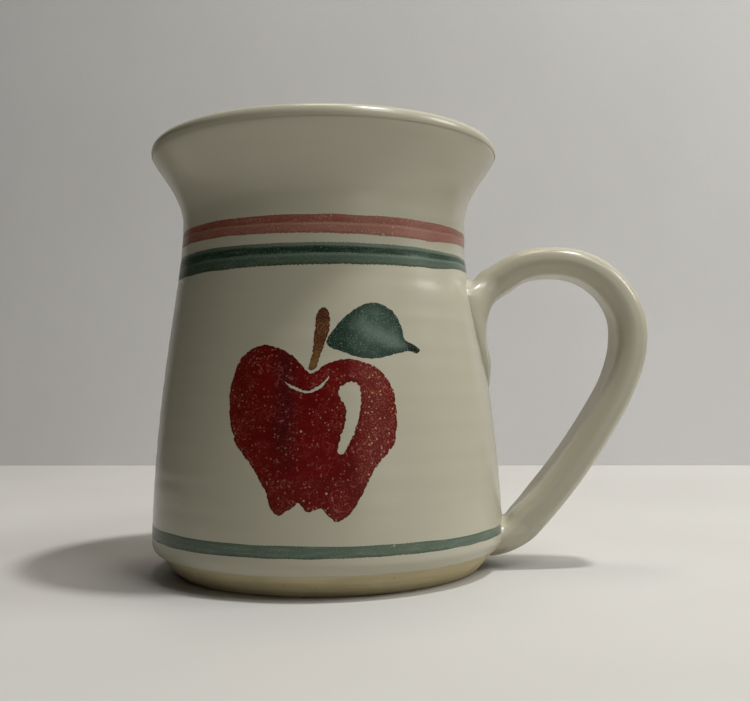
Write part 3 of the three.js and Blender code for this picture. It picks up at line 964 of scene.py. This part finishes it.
add_piece(
    painted_band("rose_band_film", (86.0, -0.9), (90.7, -0.4), 21, (0.06, 0.05), hook=1.4),
    rose_stain(), "rose_band",
)
add_piece(
    painted_band("upper_green_band_film", (78.15, 0.3), (83.8, -0.45), 31, (0.10, 0.08), hook=1.2),
    green_stain(), "upper_green_band",
)
clear_arc = (LOWER_ROOT_HALF_ANGLE, ROUND - LOWER_ROOT_HALF_ANGLE)
add_piece(
    painted_band("lower_green_band_film", (10.1, 0), (13.0, -0.55), 41, (0.05, 0.04), clear_arc),
    thin_green_stain(), "lower_green_band",
)

add_piece(
    stencil("apple_fruit_film", [APPLE, SMILE, COMMA], 51, 0.14),
    red_stain(), "apple_fruit",
)
add_piece(stencil("apple_stem_film", [STEM], 61, 0.10), brown_stain(), "apple_stem")
add_piece(stencil("apple_leaf_film", [LEAF], 71, 0.07), leaf_stain(), "apple_leaf")

# ---------------------------------------------------------------- stage, light and camera

VIEW_TURN = math.radians(5.0)  # the camera looks along +Y, turned this far to the left
VIEW_PITCH = math.radians(2.32)  # and this far up
VIEW_ROLL = math.radians(-0.695)
LENS = 44.09  # on a sensor 36 mm wide
forward = np.array([-math.sin(VIEW_TURN), math.cos(VIEW_TURN), 0])
sideways = np.array([math.cos(VIEW_TURN), math.sin(VIEW_TURN), 0])
eye = np.array([35.8, -255.8, 48.84])


def stage_plane(name, corners, material):
    """A flat part of the room, with its corners in millimetres."""
    mesh = bpy.data.meshes.new(name)
    mesh.from_pydata([tuple(np.asarray(p) * MM) for p in corners], [], [[0, 1, 2, 3]])
    mesh.materials.append(material)
    plane = bpy.data.objects.new(name, mesh)
    bpy.context.scene.collection.objects.link(plane)


def painted_board(name, low, high, depth):
    """Matt paint between two tones, with brush marks of a depth in millimetres."""
    shader = Shader(name, 0.6, 0.3)
    tone = shader.mix(shader.patches(0.3, 0.7, 120, 3.0), low, high)
    return shader.finish(tone, shader.bump(shader.noise(1.6, 3.0), depth))


WALL_DISTANCE = 580.0  # from under the camera
WALL_HEIGHT = 900.0
STAGE_HALF = 400.0
TABLE_BEHIND = 100.0  # how far the table runs back behind the camera
WALL_SKEW = math.radians(8.0)  # the wall's right side comes nearer
under_eye = eye * (1, 1, 0)
wall_middle = under_eye + forward * WALL_DISTANCE
wall_along = math.cos(WALL_SKEW) * sideways - math.sin(WALL_SKEW) * forward
wall_left, wall_right = (wall_middle + wall_along * d for d in (-STAGE_HALF, STAGE_HALF))
near_middle = under_eye - forward * TABLE_BEHIND
near_left, near_right = (near_middle + sideways * d for d in (-STAGE_HALF, STAGE_HALF))
wall_top = np.array([0, 0, WALL_HEIGHT])
stage_plane(
    "table", [near_left, near_right, wall_right, wall_left],
    painted_board("table_paint", (0.565, 0.56, 0.545), (0.595, 0.59, 0.575), 0.03),
)
stage_plane(
    "backdrop", [wall_left, wall_right, wall_right + wall_top, wall_left + wall_top],
    painted_board("backdrop_paint", (0.695, 0.69, 0.69), (0.725, 0.72, 0.72), 0.05),
)


LIGHT_AIM = Vector((0, 0, 55))


def area_light(name, azimuth, elevation, distance, size, power, colour):
    """A square area light that faces the middle of the mug, at angles in degrees round it,
    with its distance and size in millimetres and its power in watts."""
    azimuth, elevation = math.radians(azimuth), math.radians(elevation)
    level = math.cos(elevation)
    away = Vector((level * math.cos(azimuth), level * math.sin(azimuth), math.sin(elevation)))
    data = bpy.data.lights.new(name, "AREA")
    data.size = size * MM
    data.energy = power
    data.color = colour
    lamp = bpy.data.objects.new(name, data)
    lamp.location = (LIGHT_AIM + away * distance) * MM
    lamp.rotation_euler = away.to_track_quat("Z", "Y").to_euler()
    bpy.context.scene.collection.objects.link(lamp)


DAYLIGHT = (1.0, 0.99, 0.955)
LAMPLIGHT = (1.0, 0.87, 0.70)
area_light("key", -16, 71.3, 1527, 110, 13.2, DAYLIGHT)
area_light("near_key", -40, 52, 900, 300, 2.0, DAYLIGHT)
area_light("right_fill", 4, 34, 900, 300, 2.2, DAYLIGHT)
area_light("back_fill", 95, 82, 1200, 300, 2.2, LAMPLIGHT)
area_light("low_fill", -50, 8, 900, 400, 0.45, DAYLIGHT)

world = bpy.data.worlds.new("room")
world.use_nodes = True
world.node_tree.nodes["Background"].inputs["Color"].default_value = (1.0, 0.95, 0.86, 1)
world.node_tree.nodes["Background"].inputs["Strength"].default_value = 0.006
bpy.context.scene.world = world

camera = bpy.data.objects.new("camera", bpy.data.cameras.new("camera"))
camera.data.sensor_width = 36.0
camera.data.lens = LENS
camera.matrix_world = (
    Matrix.Translation(Vector(eye * MM))
    @ Matrix.Rotation(VIEW_TURN, 4, "Z")
    @ Matrix.Rotation(math.pi / 2 + VIEW_PITCH, 4, "X")
    @ Matrix.Rotation(VIEW_ROLL, 4, "Z")
)
bpy.context.scene.collection.objects.link(camera)
bpy.context.scene.camera = camera
bpy.context.scene.view_settings.view_transform = "Standard"
